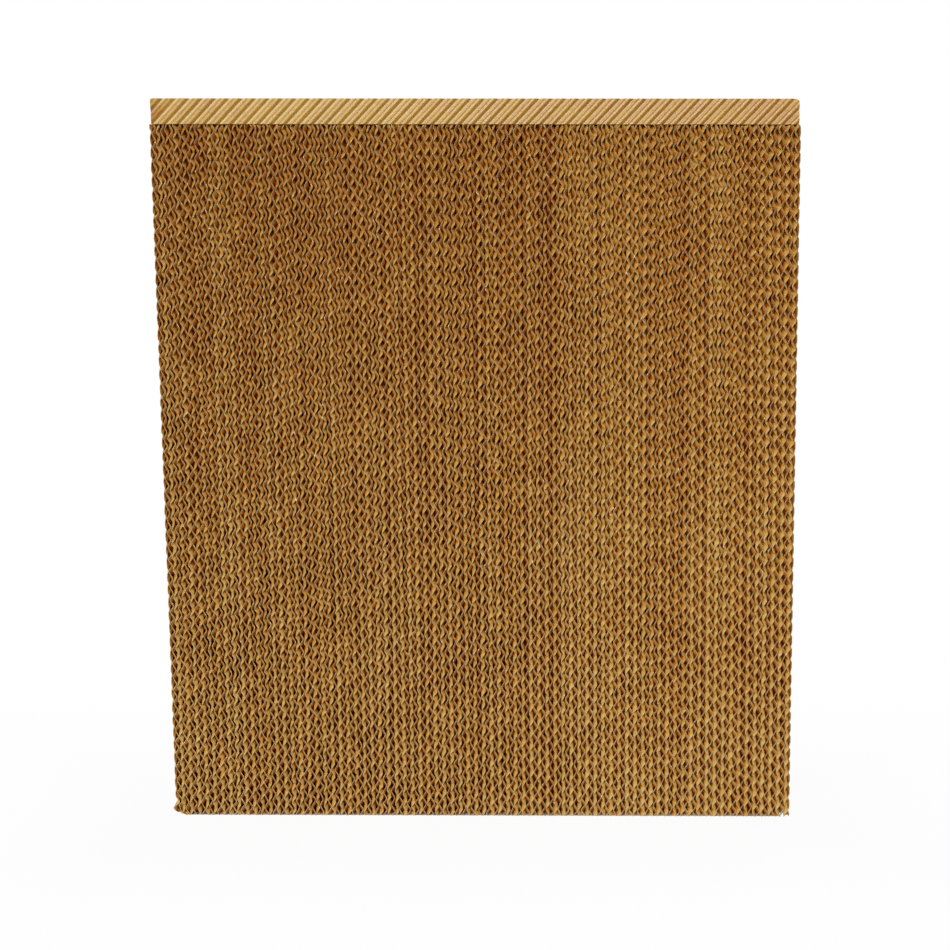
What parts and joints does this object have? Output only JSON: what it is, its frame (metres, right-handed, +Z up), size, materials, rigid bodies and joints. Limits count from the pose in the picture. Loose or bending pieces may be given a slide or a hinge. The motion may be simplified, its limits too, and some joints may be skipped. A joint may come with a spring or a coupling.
{
  "type": "evaporative cooling pad",
  "caption": "Upright slab of cross-fluted kraft-paper sheets glued into wet-wall media, with a strip of the same media laid on its top edge.",
  "frame": {"origin": "middle of the underside, on the surface that the pad stands on", "axes": "+Z up, +X across the stack of sheets, -Y out of the front face"},
  "size_m": [0.762, 0.05, 0.872],
  "materials": {
    "pad_paper": "matte",
    "strip_paper": "matte"
  },
  "bodies": {
    "root": {"pad_sheets_01": "pad_paper", "pad_sheets_02": "pad_paper", "pad_sheets_03": "pad_paper", "pad_sheets_04": "pad_paper", "pad_sheets_05": "pad_paper", "pad_sheets_06": "pad_paper", "pad_sheets_07": "pad_paper", "pad_sheets_08": "pad_paper", "pad_sheets_09": "pad_paper", "pad_sheets_10": "pad_paper", "pad_sheets_11": "pad_paper", "pad_sheets_12": "pad_paper", "pad_sheets_13": "pad_paper", "strip_rising_sheets": "strip_paper", "strip_falling_sheets": "strip_paper"}
  },
  "joints": []
}
